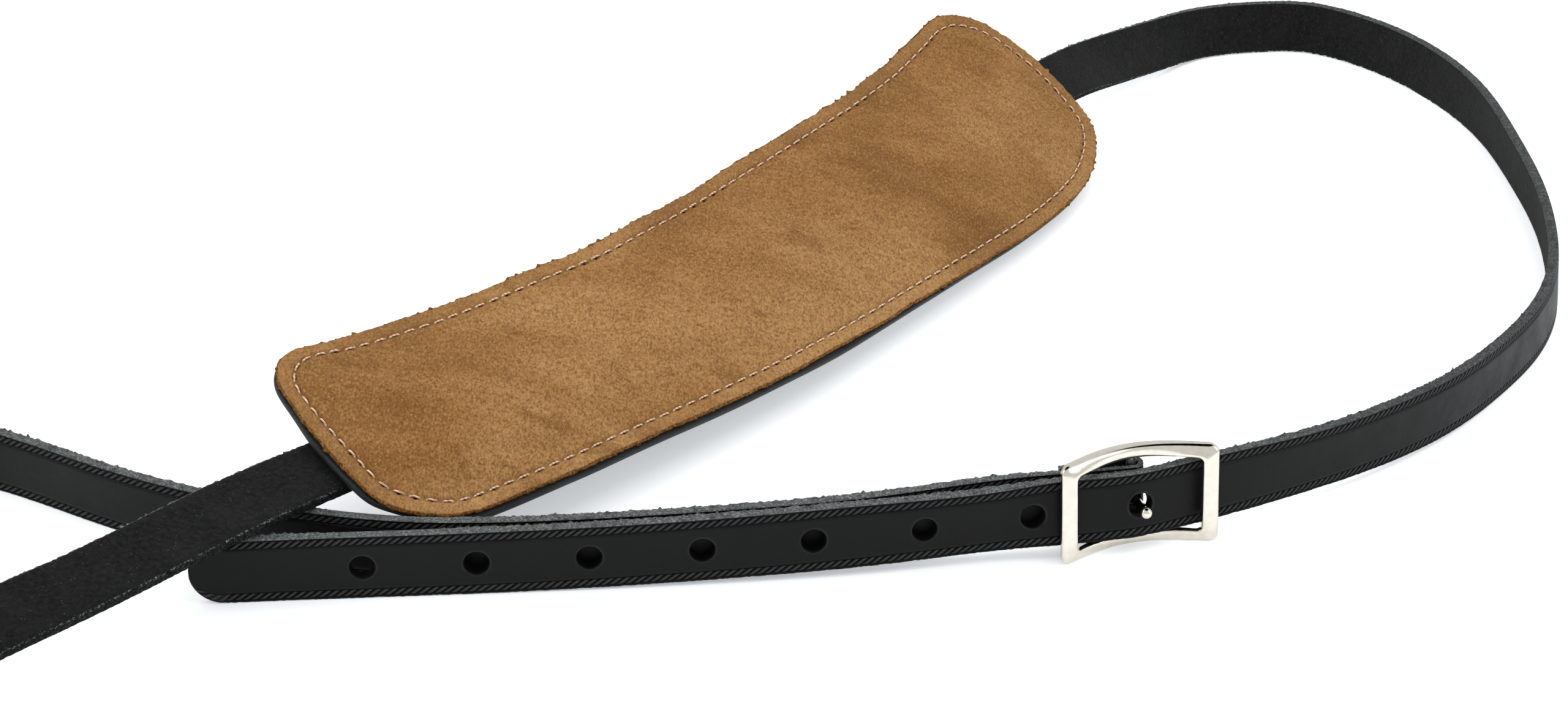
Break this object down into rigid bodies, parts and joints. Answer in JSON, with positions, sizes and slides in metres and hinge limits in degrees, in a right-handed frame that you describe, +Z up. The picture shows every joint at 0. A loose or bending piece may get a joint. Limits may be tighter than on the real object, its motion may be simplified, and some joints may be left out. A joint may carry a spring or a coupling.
{
  "type": "saxophone neck strap",
  "caption": "Long narrow leather strap with a curved padded neck rest, an adjuster buckle with a centre stud, and a swivel snap hook.",
  "frame": {"origin": "bottom centre of the bounding box, on the table top the strap lies on", "axes": "+X along the long side of the laid out strap, away from the snap hook; +Y away from the loose tail, across the layout; +Z up from the table"},
  "size_m": [0.578, 0.4228, 0.0411],
  "materials": {
    "black_leather": "satin black grain with an embossed rope border, rough flesh side",
    "pad_black_leather": "matte black leather",
    "tan_suede": "napped tan suede",
    "foam": "soft padding",
    "thread": "waxed pinkish cream thread",
    "nickel": "polished nickel plate",
    "spring_steel": "bare wire"
  },
  "bodies": {
    "strap": {"strap": "black_leather", "fold_rivet": "nickel"},
    "buckle": {"buckle_frame": "nickel", "buckle_stud": "nickel"},
    "pad": {"pad_suede": "tan_suede", "pad_foam": "foam", "pad_back": "pad_black_leather", "pad_thread_top": "thread", "pad_thread_bottom": "thread", "keeper_left": "pad_black_leather", "keeper_right": "pad_black_leather"},
    "eye": {"swivel_eye": "nickel"},
    "hook": {"hook_body": "nickel", "bolt_spring": "spring_steel"},
    "bolt": {"hook_bolt": "nickel", "bolt_knob": "nickel"}
  },
  "joints": [
    {"name": "buckle_rock", "type": "hinge", "parent": "strap", "child": "buckle", "pos_m": [0.15519, -0.09925, 0.012], "axis": [-0.0311, 0.0998, 0.9945], "range_deg": [-1.5, 2]},
    {"name": "pad_slide", "type": "slide", "parent": "strap", "child": "pad", "axis": [0.6046, 0.7965, -0.0113], "range_m": [-0.0005, 0.008]},
    {"name": "eye_swing", "type": "hinge", "parent": "strap", "child": "eye", "pos_m": [-0.21998, -0.14837, 0.0129], "axis": [0, 0, 1], "range_deg": [-19, 19]},
    {"name": "hook_swivel", "type": "hinge", "parent": "eye", "child": "hook", "pos_m": [-0.2329, -0.14837, 0.01143], "axis": [-0.9936, 0, -0.1132], "continuous": true},
    {"name": "bolt_slide", "type": "slide", "parent": "hook", "child": "bolt", "axis": [0.9936, 0, 0.1132], "range_m": [0, 0.0075], "stiffness_N_per_m": 250, "springref_m": -0.01, "deforming": ["bolt_spring"]}
  ]
}
